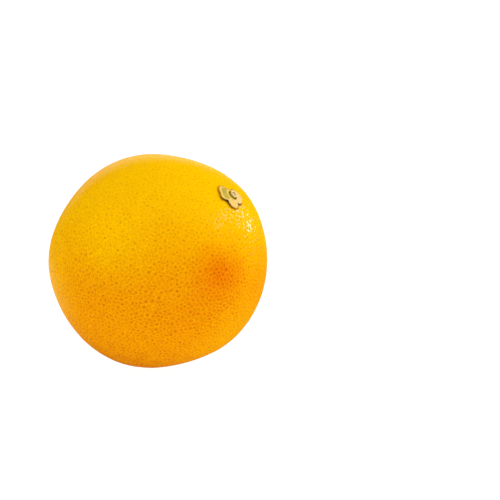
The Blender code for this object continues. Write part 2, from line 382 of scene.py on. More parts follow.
class CalyxSettings(PropertyGroup):
    thickness: FloatProperty(
        name="Thickness", description="Thickness of the calyx round the stem",
        default=0.75 * MM, min=0.2 * MM, max=1.5 * MM, **LENGTH,
    )
    tip_thickness: FloatProperty(
        name="Tip Thickness", description="Thickness of the calyx at its outline",
        default=0.42 * MM, min=0.1 * MM, max=1.5 * MM, **LENGTH,
    )
    pale: FloatVectorProperty(
        name="Pale", description="Colour of the driest sepals",
        default=(0.92, 0.61, 0.24), **COLOR,
    )
    straw: FloatVectorProperty(
        name="Straw", description="Colour of the dry sepals",
        default=(0.88, 0.60, 0.165), **COLOR,
    )
    yellow: FloatVectorProperty(
        name="Yellow", description="Colour of the rims of the greenish sepals",
        default=(0.92, 0.66, 0.14), **COLOR,
    )
    olive: FloatVectorProperty(
        name="Olive", description="Colour of the sepals that are still greenish",
        default=(0.56, 0.40, 0.05), **COLOR,
    )
    # Partly the dried underside's own brown, partly painted shadow under the lifted edges.
    burnt_and_shadow: FloatVectorProperty(
        name="Burnt Edge and Shadow", description="Colour of the underside and of the edge",
        default=(0.50, 0.20, 0.0), **COLOR,
    )
    # Painted shadow: nearly black in the bays between the sepals.
    char: FloatVectorProperty(
        name="Bay Shadow", description="Colour of both in the bays",
        default=(0.045, 0.008, 0.0), **COLOR,
    )
    # Painted shade in the groove round the foot of the stem end.
    groove_shade: FloatVectorProperty(
        name="Groove", description="Colour round the foot of the stem end",
        default=(0.37, 0.25, 0.008), **COLOR,
    )


class StemSettings(PropertyGroup):
    bark: FloatVectorProperty(
        name="Bark", description="Colour of the rim of the stem end",
        default=(0.92, 0.68, 0.30), **COLOR,
    )
    # Partly the stem's own olive, partly painted shade on the side under the rim.
    side: FloatVectorProperty(
        name="Side", description="Colour of the side of the stem end, under its rim",
        default=(0.44, 0.32, 0.015), **COLOR,
    )
    pith: FloatVectorProperty(
        name="Pith", description="Colour of the middle of the stem end",
        default=(0.80, 0.74, 0.33), **COLOR,
    )
    # Partly painted shade in the sunken ring, partly the stem end's dark mottling.
    hollow_shade_and_mottle: FloatVectorProperty(
        name="Hollow", description="Colour of the sunken ring round the pith",
        default=(0.26, 0.19, 0.10), **COLOR,
    )


class StageSettings(PropertyGroup):
    daylight: FloatProperty(
        name="Daylight", description="Strength of the even white light from all sides",
        default=0.84, min=0, max=5,
    )
    gloss_daylight: FloatProperty(
        name="Gloss Daylight", description="Strength of that light where it shows in gloss",
        default=0.04, min=0, max=5,
    )
    backdrop: FloatProperty(
        name="Backdrop", description="Strength of the bright patch behind, which shows in gloss",
        default=1.8, min=0, max=5,
    )
    window_power: FloatProperty(
        name="Window", description="Power of the small light behind on the right",
        default=1.2, **POWER,
    )
    skylight_power: FloatProperty(
        name="Skylight", description="Power of the small light high on the right",
        default=0.55, **POWER,
    )
    side_power: FloatProperty(
        name="Side Light", description="Power of the soft light on the right",
        default=1.3, **POWER,
    )
    top_power: FloatProperty(
        name="Top Light", description="Power of the wide soft light overhead",
        default=3, **POWER,
    )
    floor: FloatVectorProperty(
        name="Floor", description="Colour of the floor",
        default=(0.15, 0.15, 0.15), **COLOR,
    )
    floor_glow: FloatProperty(
        name="Floor Glow", description="How often over the floor lights up in its own colour",
        default=6.5, min=0, max=10,
    )


# Shader nodes


def find_socket(sockets, key):
    """The socket with that number or name. Of several alike, it is the one in use."""
    if isinstance(key, int):
        return sockets[key]
    return next(socket for socket in sockets if socket.name == key and socket.enabled)


def set_inputs(tree, node, inputs):
    """Sets a node's inputs, each to a value or to the socket that it is linked to. A
    colour without an alpha gets one.
    """
    for key, value in inputs.items():
        target = find_socket(node.inputs, key)
        if isinstance(value, NodeSocket):
            tree.links.new(value, target)
        elif target.type == "RGBA" and len(value) == 3:
            target.default_value = (*value, 1)
        else:
            target.default_value = value


def add_node(tree, kind, inputs=None, **settings):
    node = tree.nodes.new(f"ShaderNode{kind}")
    for name, value in settings.items():
        setattr(node, name, value)
    set_inputs(tree, node, inputs or {})
    return node


def calculate(tree, operation, *values):
    node = add_node(tree, "Math", dict(enumerate(values)), operation=operation)
    return node.outputs[0]


def calculate_vector(tree, operation, *values):
    """Puts out a vector, or the value of an operation that gives one."""
    node = add_node(tree, "VectorMath", dict(enumerate(values)), operation=operation)
    return node.outputs[1 if operation in ("DOT_PRODUCT", "DISTANCE", "LENGTH") else 0]


def remap(tree, value, low, high, start=0.0, end=1.0):
    """A smooth step from start, where value is low, to end, where it is high."""
    inputs = {"Value": value, "From Min": low, "From Max": high, "To Min": start, "To Max": end}
    node = add_node(tree, "MapRange", inputs, interpolation_type="SMOOTHSTEP")
    return node.outputs["Result"]


def mix(tree, share, first, second, kind="RGBA", blend="MIX"):
    """The first, and as much of the second as share says: colours, or values of kind FLOAT."""
    inputs = {"Factor": share, "A": first, "B": second}
    node = add_node(tree, "Mix", inputs, data_type=kind, blend_type=blend)
    return find_socket(node.outputs, "Result")


def cloud(tree, place, length, detail=2.0, roughness=0.5):
    """Noise about 0.5, whose patches are about that long: a number or a socket."""
    if isinstance(length, NodeSocket):
        scale = calculate(tree, "DIVIDE", 1.0, length)
    else:
        scale = 1 / length
    inputs = {"Vector": place, "Scale": scale, "Detail": detail, "Roughness": roughness}
    return add_node(tree, "TexNoise", inputs).outputs[0]


def object_place(tree):
    return add_node(tree, "TexCoord").outputs["Object"]


def attribute(tree, name, output="Fac"):
    return add_node(tree, "Attribute", attribute_name=name).outputs[output]


def new_group(name, inputs, outputs):
    """A shader node group. Inputs and outputs are given as the kind of each name."""
    tree = bpy.data.node_groups.new(name, "ShaderNodeTree")
    for side, sockets in (("INPUT", inputs), ("OUTPUT", outputs)):
        for label, kind in sockets.items():
            tree.interface.new_socket(label, in_out=side, socket_type=f"NodeSocket{kind}")
    given = tree.nodes.new("NodeGroupInput").outputs
    result = tree.nodes.new("NodeGroupOutput")
    return tree, given, result


def use_group(tree, name, inputs):
    """Places a shader node group and gives its outputs."""
    group = bpy.data.node_groups[name]
    return add_node(tree, "Group", inputs, node_tree=group).outputs


def build_mottling_group():
    """Cloudy patches of a second colour over a first one, with fine speckles in them."""
    tree, given, result = new_group(
        "mottling",
        inputs={
            "Place": "Vector", "Colour": "Color", "Patch Colour": "Color",
            "Patch Length": "Float", "Amount": "Float",
        },
        outputs={"Colour": "Color", "Mask": "Float"},
    )
    patches = cloud(tree, given["Place"], given["Patch Length"], detail=5.0, roughness=0.6)
    low = calculate(tree, "MULTIPLY", calculate(tree, "SUBTRACT", 1.0, given["Amount"]), 0.9)
    high = calculate(tree, "ADD", low, 0.22)
    mask = remap(tree, patches, low, high)
    color = mix(tree, mask, given["Colour"], given["Patch Colour"])
    set_inputs(tree, result, {"Colour": color, "Mask": mask})


def build_grain_group():
    """Fine grain in two sizes, as a height about 0.5."""
    tree, given, result = new_group(
        "grain",
        inputs={"Place": "Vector", "Length": "Float", "Coarse Share": "Float"},
        outputs={"Height": "Float"},
    )
    fine = cloud(tree, given["Place"], given["Length"], detail=3.0, roughness=0.55)
    coarse_length = calculate(tree, "DIVIDE", given["Length"], 0.22)
    coarse = cloud(tree, given["Place"], coarse_length, detail=1.0)
    height = mix(tree, given["Coarse Share"], fine, coarse, kind="FLOAT")
    set_inputs(tree, result, {"Height": height})


def build_stem_axis_group():
    """Distance of a place from the stem axis, in metres."""
    tree, given, result = new_group(
        "stem_axis", inputs={"Place": "Vector"}, outputs={"From Axis": "Float"},
    )
    from_middle = calculate_vector(tree, "SUBTRACT", given["Place"], MIDDLE)
    across = calculate_vector(tree, "CROSS_PRODUCT", from_middle, STEM)
    set_inputs(tree, result, {"From Axis": calculate_vector(tree, "LENGTH", across)})


def build_groups():
    build_mottling_group()
    build_grain_group()
    build_stem_axis_group()


def new_material(name, shader_values):
    """A material with its Principled shader's even values set on the shader itself."""
    material = bpy.data.materials.new(name)
    material.use_nodes = True
    tree = material.node_tree
    shader = tree.nodes["Principled BSDF"]
    set_inputs(tree, shader, shader_values)
    return material, tree, shader


def add_relief(tree, shader, height, depth, strength=1.0):
    """Links a height of 0 to 1 to the shader's normal, as relief of that depth."""
    relief = add_node(tree, "Bump", {"Height": height, "Distance": depth, "Strength": strength})
    set_inputs(tree, shader, {"Normal": relief.outputs["Normal"]})


# Materials


def along(tree, from_middle, direction):
    """How far a place lies in that direction from the middle of the fruit, in radii."""
    way = direction.normalized() / BODY_RADIUS
    return calculate_vector(tree, "DOT_PRODUCT", from_middle, way)


def distance_from(tree, from_middle, direction):
    """Distance of a place from the spot of the rind in that direction."""
    spot = direction.normalized() * BODY_RADIUS
    return calculate_vector(tree, "DISTANCE", from_middle, spot)


def color_rind(tree, look, place, from_middle, ragged):
    """Orange to yellow up the fruit, partly the rind's own ripening and partly painted shade, and
    the blotches over it.
    """
    drift = calculate(tree, "SUBTRACT", cloud(tree, place, RIPE_AND_SHADE_DRIFT_LENGTH), 0.5)
    ripe_and_shade_place = along(tree, from_middle, RIPE_AND_SHADE_DIRECTION)
    ripe_and_shade_place = calculate(tree, "MULTIPLY_ADD", drift, RIPE_AND_SHADE_DRIFT, ripe_and_shade_place)
    # Painted shade in part: the rind turns orange towards the bottom and front.
    color = mix(tree, remap(tree, ripe_and_shade_place, *RIPE_AND_SHADE_RANGE), look.orange, look.yellow)
    for direction, radius, strength, tint in BLOTCHES:
        distance = distance_from(tree, from_middle, direction)
        distance = calculate(tree, "MULTIPLY_ADD", ragged, BLOTCH_WANDER * radius, distance)
        share = remap(tree, distance, radius, 0.0, 0.0, strength)
        color = mix(tree, share, color, getattr(look, tint))
    return color


def color_glands(tree, look, place, from_middle, color):
    """Fine flecks over the rind, a darker dot in each oil gland and a lighter net between."""
    smooth_place = along(tree, from_middle, SMOOTH_DIRECTION)
    distinct = remap(tree, smooth_place, *SMOOTH_RANGE, FAINTEST_DOTS, 1.0)
    flecks = cloud(tree, place, FLECK_LENGTH, detail=3.0)
    red = remap(tree, flecks, *NOISE_RANGE, *FLECK_RED)
    green = remap(tree, flecks, *NOISE_RANGE, *FLECK_GREEN)
    shades = {"Red": red, "Green": green, "Blue": green}
    fleck_color = add_node(tree, "CombineColor", shades).outputs[0]
    color = mix(tree, distinct, color, fleck_color, blend="MULTIPLY")

    broken = calculate(tree, "SUBTRACT", 0.5, flecks)
    gland = calculate(tree, "MULTIPLY_ADD", broken, DOT_RAGGEDNESS, attribute(tree, "gland"))
    dot = calculate(tree, "MULTIPLY", remap(tree, gland, *DOT_RANGE), distinct)
    color = mix(tree, dot, color, look.gland, blend="MULTIPLY")
    net = calculate(tree, "MULTIPLY", remap(tree, gland, *NET_RANGE), distinct)
    return mix(tree, net, color, look.net, blend="SCREEN")


def weigh_coat(tree, from_middle, scar):
    """Thin wax that shines in spots near the stem end and evenly elsewhere, but not on
    the scar.
    """
    spots = remap(tree, attribute(tree, "shine"), *SPOT_RANGE)
    from_polish = distance_from(tree, from_middle, POLISH_DIRECTION)
    in_spots = remap(tree, from_polish, *POLISH_RANGE, *SPOT_COAT)
    beside_spots = remap(tree, from_polish, *POLISH_RANGE, *PLAIN_COAT)
    coat = calculate(tree, "MULTIPLY_ADD", spots, in_spots, beside_spots)
    return calculate(tree, "MULTIPLY", calculate(tree, "SUBTRACT", 1.0, scar), coat)


def make_rind_material(look):
    """Yellow to orange, partly as painted shade, with a dark orange patch, and a darker dot in
    each oil gland.
    """
    material, tree, shader = new_material(
        "rind", {"Specular IOR Level": 0.0, "Coat Roughness": COAT_ROUGHNESS, "Coat IOR": 1.45},
    )
    place = object_place(tree)
    from_middle = calculate_vector(tree, "SUBTRACT", place, MIDDLE)
    ragged = calculate(tree, "SUBTRACT", cloud(tree, place, BLOTCH_EDGE_LENGTH, detail=4.0), 0.5)
    color = color_rind(tree, look, place, from_middle, ragged)
    color = color_glands(tree, look, place, from_middle, color)

    from_scar = calculate_vector(tree, "DISTANCE", from_middle, -STEM * rind_radius(-STEM))
    from_scar = calculate(tree, "MULTIPLY_ADD", ragged, CORK_WANDER, from_scar)
    scar = remap(tree, from_scar, *CORK_RANGE)
    wax = remap(tree, cloud(tree, place, WAX_LENGTH), *NOISE_RANGE, *WAX_ROUGHNESS)
    set_inputs(tree, shader, {
        "Base Color": mix(tree, scar, color, look.cork),
        "Roughness": mix(tree, scar, wax, CORK_ROUGHNESS, kind="FLOAT"),
        "Coat Weight": weigh_coat(tree, from_middle, scar),
    })
    grain = use_group(tree, "grain", {"Place": place, "Length": 0.3 * MM, "Coarse Share": 0.5})
    add_relief(tree, shader, grain["Height"], depth=0.03 * MM, strength=0.5)
    return material


def make_calyx_material(look):
    """Straw with greenish patches, fibres along the sepals and a burnt edge and underside that
    are partly painted shadow.
    """
    material, tree, shader = new_material("dried_sepal", {"Specular IOR Level": 0.12})
    place = object_place(tree)
    from_axis = use_group(tree, "stem_axis", {"Place": place})["From Axis"]
    green = attribute(tree, "green")
    olive_share = remap(tree, green, *OLIVE_RANGE)
    rim = attribute(tree, "rim")
    dry = mix(tree, remap(tree, green, *STRAW_RANGE), look.pale, look.straw)
    dry = mix(tree, olive_share, dry, look.yellow)
    patches = use_group(tree, "mottling", {
        "Place": place, "Colour": dry, "Patch Colour": look.olive,
        "Patch Length": 1.6 * MM, "Amount": 0.40,
    })
    inside = calculate(tree, "SUBTRACT", 1.0, rim)
    inside = calculate(tree, "MULTIPLY", inside, remap(tree, from_axis, *OLIVE_START))
    inside = calculate(tree, "MULTIPLY", inside, olive_share)
    color = mix(tree, inside, patches["Colour"], look.olive)

    fibres = cloud(tree, attribute(tree, "fibre", output="Vector"), 1.0, detail=3.0)
    shade = remap(tree, fibres, *FIBRE_NOISE, *FIBRE_SHADES)
    color = mix(tree, FIBRE_SHARE, color, shade, blend="MULTIPLY")
    color = mix(tree, calculate(tree, "MULTIPLY", rim, RIM_SHARE), color, dry)

    specks = use_group(tree, "mottling", {
        "Place": place, "Colour": color, "Patch Colour": look.burnt_and_shadow,
        "Patch Length": 0.7 * MM, "Amount": 0.22,
    })
    color = mix(tree, SPECK_SHARE, color, specks["Colour"])
    # Painted shade in the groove round the stem end.
    color = mix(tree, remap(tree, from_axis, *GROOVE_RANGE), color, look.groove_shade)
    # The burnt edge and underside are partly painted shadow, nearly black in the bays.
    burnt_and_shadow_tone = mix(tree, attribute(tree, "char"), look.burnt_and_shadow, look.char)
    edge = calculate(tree, "MULTIPLY", attribute(tree, "edge"), EDGE_SHARE)
    color = mix(tree, edge, color, burnt_and_shadow_tone)
    set_inputs(tree, shader, {
        "Base Color": mix(tree, attribute(tree, "under"), color, burnt_and_shadow_tone),
        "Roughness": remap(tree, fibres, 0.2, 0.8, *FIBRE_ROUGHNESS),
    })
    grain = use_group(tree, "grain", {"Place": place, "Length": 0.16 * MM, "Coarse Share": 0.4})
    height = calculate(tree, "ADD", grain["Height"], fibres)
    add_relief(tree, shader, height, depth=0.05 * MM, strength=0.8)
    return material


def make_stem_material(look):
    """Pinkish bark round a sunken ring and a pale pith, over an olive side. The ring's dark
    colour and the side are partly painted shade.
    """
    material, tree, shader = new_material("stem_wood", {"Specular IOR Level": 0.25})
    place = object_place(tree)
    wander = calculate(tree, "SUBTRACT", cloud(tree, place, 0.8 * MM, detail=3.0), 0.5)
    from_axis = use_group(tree, "stem_axis", {"Place": place})["From Axis"]
    radius = calculate(tree, "MULTIPLY_ADD", wander, BARK_WANDER, from_axis)
    # Painted shade in the sunken ring round the pith.
    color = mix(tree, remap(tree, radius, *HOLLOW_RANGE), look.pith, look.hollow_shade_and_mottle)
    color = mix(tree, remap(tree, radius, *BARK_RANGE), color, look.bark)
    patches = use_group(tree, "mottling", {
        "Place": place, "Colour": color, "Patch Colour": look.hollow_shade_and_mottle,
        "Patch Length": 0.5 * MM, "Amount": 0.3,
    })
    color = mix(tree, 0.5, color, patches["Colour"])
    # Painted shade in part: the side under the rim is darker olive.
    set_inputs(tree, shader, {
        "Base Color": mix(tree, attribute(tree, "side"), color, look.side),
        "Roughness": remap(tree, patches["Mask"], 0.0, 1.0, *WOOD_ROUGHNESS),
    })
    grain = use_group(tree, "grain", {"Place": place, "Length": 0.14 * MM, "Coarse Share": 0.3})
    add_relief(tree, shader, grain["Height"], depth=0.05 * MM)
    return material


def make_floor_material(color, glow):
    """Pale and matt, lit from within, and darker where it shows in the rind's gloss, but
    for a bright spot behind on the left.
    """
    material, tree, shader = new_material(
        "pale_floor", {"Roughness": 0.9, "Specular IOR Level": 0.0, "Emission Strength": glow},
    )
    is_gloss = add_node(tree, "LightPath").outputs["Is Glossy Ray"]
    distance = calculate_vector(tree, "DISTANCE", object_place(tree), BRIGHT_FLOOR)
    dimness = remap(tree, distance, *BRIGHT_FLOOR_RANGE)
    in_gloss = mix(tree, dimness, color * BRIGHT_FLOOR_SHARE, color * DIM_FLOOR_SHARE)
    chosen = mix(tree, is_gloss, color, in_gloss)
    set_inputs(tree, shader, {"Base Color": chosen, "Emission Color": chosen})
    return material


# Rind


def spread_directions(count, rng):
    """Directions spread evenly by the golden angle, then scattered."""
    golden = math.pi * (3 - math.sqrt(5))
    spacing = math.sqrt(4 * math.pi / count)
    found = []
    for index in range(count):
        angle = golden * index
        height = 1 - 2 * (index + 0.5) / count
        width = math.sqrt(1 - height ** 2)
        point = Vector((width * math.cos(angle), width * math.sin(angle), height))
        point += spacing * GLAND_SCATTER * Vector([rng.uniform(-1, 1) for _ in range(3)])
        found.append(point.normalized())
    return found


def new_gland_hull(count, rng):
    """A hull over the glands' middles on a ball of radius 1, spaced out again."""
    bm = bmesh.new()
    for direction in spread_directions(count, rng):
        bm.verts.new(direction)
    bmesh.ops.convex_hull(bm, input=bm.verts[:])
    for _ in range(EVENING_ROUNDS):
        bmesh.ops.smooth_vert(
            bm, verts=bm.verts[:], factor=0.5,
            use_axis_x=True, use_axis_y=True, use_axis_z=True,
        )
        for vertex in bm.verts:
            vertex.co.normalize()
    bmesh.ops.delete(bm, geom=bm.edges[:], context="EDGES_FACES")
    bmesh.ops.convex_hull(bm, input=bm.verts[:])
    return bm


def add_gland_net(bm, rng):
    """Puts a net between the glands and a ring halfway down each gland. The layer
    "gland" is a gland's strength in its middle, half of it on the ring and 0 on the net.
    The layer "shine" is 1 on some knots of the net, where the wax is smooth.
    """
    strength_layer = bm.verts.layers.float.new("gland")
    shine_layer = bm.verts.layers.float.new("shine")
    for gland in bm.verts:
        gland[strength_layer] = 1 - GLAND_VARIETY * rng.random() ** GLAND_RARITY
    glands = set(bm.verts)
    between = bm.edges[:]
    bmesh.ops.poke(bm, faces=bm.faces[:])
    bmesh.ops.rotate_edges(bm, edges=between)
    for vertex in bm.verts:
        is_knot = vertex not in glands
        vertex[shine_layer] = is_knot and rng.random() < SHINY_SHARE
        if is_knot:
            vertex[strength_layer] = 0
    spokes = [edge for edge in bm.edges if (edge.verts[0] in glands) != (edge.verts[1] in glands)]
    bmesh.ops.subdivide_edges(bm, edges=spokes, cuts=1)
    return strength_layer


def relief_share(direction):
    """How much of the relief there is: none under the calyx and round the flat spot."""
    from_stem = direction.angle(STEM) * BODY_RADIUS
    from_rest = direction.angle(DOWN) * BODY_RADIUS
    clear_of_stem = ramp(from_stem, GLAND_FREE_STEM, GLAND_FREE_STEM + GLAND_FADE)
    clear_of_rest = ramp(from_rest, GLAND_FREE_REST, GLAND_FREE_REST + GLAND_FADE)
    return clear_of_stem * clear_of_rest


def shape_rind(bm, strength_layer, gland_depth):
    """Blows the ball up to the fruit's form, with its glands and its unevenness."""
    for vertex in bm.verts:
        direction = vertex.co.normalized()
        share = relief_share(direction)
        from_scar = direction.angle(-STEM) * BODY_RADIUS
        relief = -gland_depth * vertex[strength_layer] ** GLAND_STEEPNESS
        relief += ROLLING_HEIGHT * noise.noise(direction * BODY_RADIUS / ROLLING_LENGTH)
        relief += PEBBLE_HEIGHT * noise.noise(direction * BODY_RADIUS / PEBBLE_LENGTH)
        relief -= SCAR_DEPTH * bump(from_scar, SCAR_RADIUS)
        vertex.co = direction * (rind_radius(direction) + relief * share)
        vertex[strength_layer] *= share


def sink_socket(bm):
    """Opens the rind under the calyx and sinks the hole for the stem end."""
    reach = (SOCKET_RADIUS + SOCKET_MARGIN) / BODY_RADIUS
    inside = [face for face in bm.faces if face.calc_center_median().angle(STEM) < reach]
    bmesh.ops.delete(bm, geom=inside, context="FACES")
    rim = [edge for edge in bm.edges if edge.is_boundary]
    at_rind = Matrix.Translation(STEM * height_under(SOCKET_RADIUS, 0))
    turned = TO_STEM_AXIS.to_matrix().to_4x4()
    ring = set(bmesh.ops.create_circle(
        bm, segments=SOCKET_STEPS, radius=SOCKET_RADIUS, matrix=at_rind @ turned,
    )["verts"])
    ring_edges = [edge for edge in bm.edges if edge.verts[0] in ring]
    bmesh.ops.bridge_loops(bm, edges=rim + ring_edges)
    grown = bmesh.ops.extrude_edge_only(bm, edges=ring_edges)["geom"]
    sunk = [piece for piece in grown if isinstance(piece, bmesh.types.BMVert)]
    bmesh.ops.translate(bm, vec=-STEM * SOCKET_DEPTH, verts=sunk)
    bmesh.ops.edgeloop_fill(bm, edges=[edge for edge in bm.edges if edge.is_boundary])


def cut_flat_spot(bm):
    """Cuts the fruit off flat where it rests, and closes the slivers along the cut."""
    bmesh.ops.bisect_plane(
        bm,
        geom=bm.verts[:] + bm.edges[:] + bm.faces[:],
        plane_co=DOWN * MIDDLE.z,
        plane_no=DOWN,
        clear_outer=True,
    )
    bmesh.ops.dissolve_degenerate(bm, dist=SHORTEST_EDGE, edges=bm.edges[:])
    rim = [edge for edge in bm.edges if edge.is_boundary]
    for edge in rim:
        for vertex in edge.verts:
            vertex.co.z = -MIDDLE.z
    bmesh.ops.edgeloop_fill(bm, edges=rim)


# Calyx


def turn_round(bm, steps):
    """Turns an outline once about +Z."""
    bmesh.ops.spin(
        bm, geom=bm.verts[:] + bm.edges[:], cent=(0, 0, 0), axis=(0, 0, 1),
        angle=math.tau, steps=steps, use_merge=True,
    )


def sepal_reaches(angle, longer=0.0, wider=0.0):
    """How far each sepal reaches in that direction from the stem."""
    reaches = []
    for sepal in SEPALS:
        turn = angle - math.radians(sepal.degrees)
        forward = math.cos(turn) / (sepal.length + longer)
        sideways = abs(math.sin(turn)) / (sepal.half_width + wider)
        reach = 0
        if forward > 0:
            reach = sepal.length
            for _ in range(REACH_ROUNDS):
                taper = (reach * forward) ** SEPAL_TAPER
                both = forward ** SEPAL_BLUNTNESS + (sideways / taper) ** SEPAL_BLUNTNESS
                reach = both ** (-1 / SEPAL_BLUNTNESS)
        reaches.append(reach)
    return reaches


def outline_reach(angle, reaches):
    """The calyx's outline: the furthest of its sepals, with a ragged edge."""
    around = Vector((math.cos(angle), math.sin(angle), 0))
    ragged = noise.noise(around * COARSE_RAGS)
    ragged += FINE_RAG_HEIGHT * noise.noise(around * FINE_RAGS)
    return max(CALYX_CORE, *reaches) * (1 + OUTLINE_RAGGEDNESS * ragged)


def fringe_reach(angle):
    """The outline of the burnt underside, where it shows past the top as a painted shadow line,
    and from 0 to 1 how much painted shadow darkens it in the bays.
    """
    reach = outline_reach(angle, sepal_reaches(angle, FRINGE_LENGTH, FRINGE_BREADTH))
    reach += UPPER_FRINGE * bump(math.remainder(angle - UPPER_SIDE, math.tau), UPPER_BREADTH)
    bay_shadow_share = 0
    for direction, shown in BAYS:
        nearness = bump(math.remainder(angle - direction, math.tau), BAY_BREADTH)
        reach += shown * nearness
        bay_shadow_share = max(bay_shadow_share, nearness)
    return reach, bay_shadow_share


def blend_sepals(reaches, values):
    """The value of the sepal that reaches furthest, blended with its neighbours'."""
    weights = [reach ** SEPAL_BLENDING for reach in reaches]
    return sum(weight * value for weight, value in zip(weights, values)) / sum(weights)


def calyx_lift(spot, outward, reach, reaches):
    """Height of the sheet over the rind: lifted tips, curled edges, collar and wrinkles."""
    distance = spot.length
    nearest = SEPALS[reaches.index(max(reaches))]
    aside = distance * math.sin(math.atan2(spot.y, spot.x) - math.radians(nearest.degrees))
    outside_core = ramp(distance, CALYX_CORE, LIFT_REACH)
    midrib = bump(aside, MIDRIB_BREADTH) * outside_core ** 0.5 * (1 - outward ** 4)
    wrinkle = noise.noise(spot / WRINKLE_LENGTH)
    wrinkle += 0.5 * noise.noise(spot / WRINKLE_LENGTH * 2.7)
    lift = blend_sepals(reaches, [sepal.tip_lift for sepal in SEPALS]) * outside_core
    lift += CURL_HEIGHT * outward ** CURL_STEEPNESS * ramp(reach, CALYX_CORE, CURL_REACH)
    lift += COLLAR_HEIGHT * bump(distance - COLLAR_RADIUS, COLLAR_BREADTH)
    lift += MIDRIB_HEIGHT * midrib
    lift += WRINKLE_HEIGHT * (1 + wrinkle)
    return CALYX_REST + lift


def new_calyx_ring():
    """A ring with a round section, spun about the stem axis."""
    bm = bmesh.new()
    upright = Matrix.Translation((CALYX_CORE, 0, 0)) @ Matrix.Rotation(math.pi / 2, 4, "X")
    bmesh.ops.create_circle(bm, segments=SECTION_STEPS, radius=SECTION_RADIUS, matrix=upright)
    turn_round(bm, CALYX_STEPS)
    return bm


def shape_calyx(bm, look):
    """Draws the ring out to the sepals' outline and lays it on the rind. The section's
    angle gives each vertex its share of the way to the outline and its side of the sheet.
    """
    layers = bm.verts.layers
    rim, edge, under, green, char = (
        layers.float.new(name) for name in ("rim", "edge", "under", "green", "char")
    )
    fibre = layers.float_vector.new("fibre")
    for vertex in bm.verts:
        angle = math.atan2(vertex.co.y, vertex.co.x)
        section = math.atan2(vertex.co.z, vertex.co.xy.length - CALYX_CORE)
        side = math.copysign(abs(math.sin(section)) ** EDGE_ROUNDNESS, math.sin(section))
        reaches = sepal_reaches(angle)
        reach = outline_reach(angle, reaches)
        # The underside reaches out past the top as a painted shadow line.
        fringe, bay_shadow_share = fringe_reach(angle)
        reach += ramp(-side, *FRINGE_RANGE) * (fringe - reach)
        outward = (1 + math.cos(section)) / 2
        distance = CALYX_HOLE + (reach - CALYX_HOLE) * outward
        around = Vector((math.cos(angle), math.sin(angle), 0))
        spot = around * distance

        thickness = look.thickness + (look.tip_thickness - look.thickness) * outward ** 2
        height = calyx_lift(spot, outward, reach, reaches) + thickness / 2 * (1 + side)
        x, y = Matrix.Rotation(CALYX_TURN, 2) @ spot.xy
        vertex.co = TO_STEM_AXIS @ Vector((x, y, height_under(x, y) + height))
        # The edge, the underside and the bays carry painted shadow.
        vertex[rim] = ramp(outward, *RIM_RANGE)
        vertex[edge] = ramp(outward, *EDGE_RANGE)
        vertex[under] = ramp(-side, *UNDER_RANGE)
        vertex[green] = blend_sepals(reaches, [sepal.greenness for sepal in SEPALS])
        vertex[char] = bay_shadow_share
        vertex[fibre] = around / FIBRE_BREADTH + Vector((0, 0, distance / FIBRE_LENGTH))


# Stem end


def new_stub():
    """The profile turned about the stem axis, smoothed and made a little uneven."""
    bm = bmesh.new()
    side = bm.verts.layers.float.new("side")
    rind = rind_radius(STEM)
    points = [bm.verts.new((x * MM, 0, rind + z * MM)) for x, z in STUB_PROFILE]
    for upper, lower in zip(points, points[1:]):
        bm.edges.new((upper, lower))
    turn_round(bm, STUB_STEPS)
    bmesh.ops.remove_doubles(bm, verts=bm.verts[:], dist=MERGE_DISTANCE)
    bmesh.ops.subdivide_edges(
        bm, edges=bm.edges[:], cuts=1, use_grid_fill=True, smooth=STUB_ROUNDNESS,
    )
    for vertex in bm.verts:
        over_rind = vertex.co.z - rind
        ridge_place = Vector((*vertex.co.xy, over_rind * RIDGE_STRETCH)) / RIDGE_LENGTH
        ridge = noise.noise(ridge_place)
        crack = max(0, noise.noise(vertex.co / CRACK_LENGTH) - CRACK_RARITY)
        unevenness = STUB_UNEVENNESS * (ridge - CRACK_DEPTH * crack)
        outward = Vector((*vertex.co.xy, UNEVEN_LIFT)).normalized()
        vertex.co += outward * ramp(over_rind, *UNEVEN_RANGE) * unevenness
        # The layer side marks where the side is darkened as painted shade.
        vertex[side] = 1 - ramp(over_rind, *TOP_RANGE)
        vertex.co = TO_STEM_AXIS @ vertex.co
    return bm


# Pieces


def add_object(name, data):
    """A new object in the scene, at the origin."""
    item = bpy.data.objects.new(name, data)
    bpy.context.scene.collection.objects.link(item)
    return item


def add_mesh_object(name, bm, material):
    mesh = bpy.data.meshes.new(name)
    bm.to_mesh(mesh)
    bm.free()
    mesh.materials.append(material)
    return add_object(name, mesh)


def add_piece(name, bm, material, node, sharp_degrees):
    """Puts a finished mesh in its place, where it stands for a node of the model."""
    bmesh.ops.translate(bm, vec=MIDDLE, verts=bm.verts[:])
    bmesh.ops.recalc_face_normals(bm, faces=bm.faces[:])
    if not all(edge.is_manifold for edge in bm.edges):
        raise RuntimeError(f"{name} is not a closed surface")
    piece = add_mesh_object(name, bm, material)
    piece.data.shade_smooth()
    piece.data.set_sharp_from_angle(angle=math.radians(sharp_degrees))
    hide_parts(node)
    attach(piece, "root")


class GRAPEFRUIT_OT_make_rind(Operator):
    """Model the rind with its oil glands, and put it in place of the plain fruit"""

    bl_idname = "grapefruit.make_rind"
    bl_label = "Make Rind"

    def execute(self, context):
        look = context.scene.grapefruit_rind
        rng = random.Random(RIND_SEED)
        bm = new_gland_hull(look.gland_count, rng)
        strength_layer = add_gland_net(bm, rng)
        shape_rind(bm, strength_layer, look.gland_depth)
        sink_socket(bm)
        cut_flat_spot(bm)
        material = make_rind_material(look)
        add_piece("rind_with_glands", bm, material, "fruit", sharp_degrees=50)
        return {"FINISHED"}


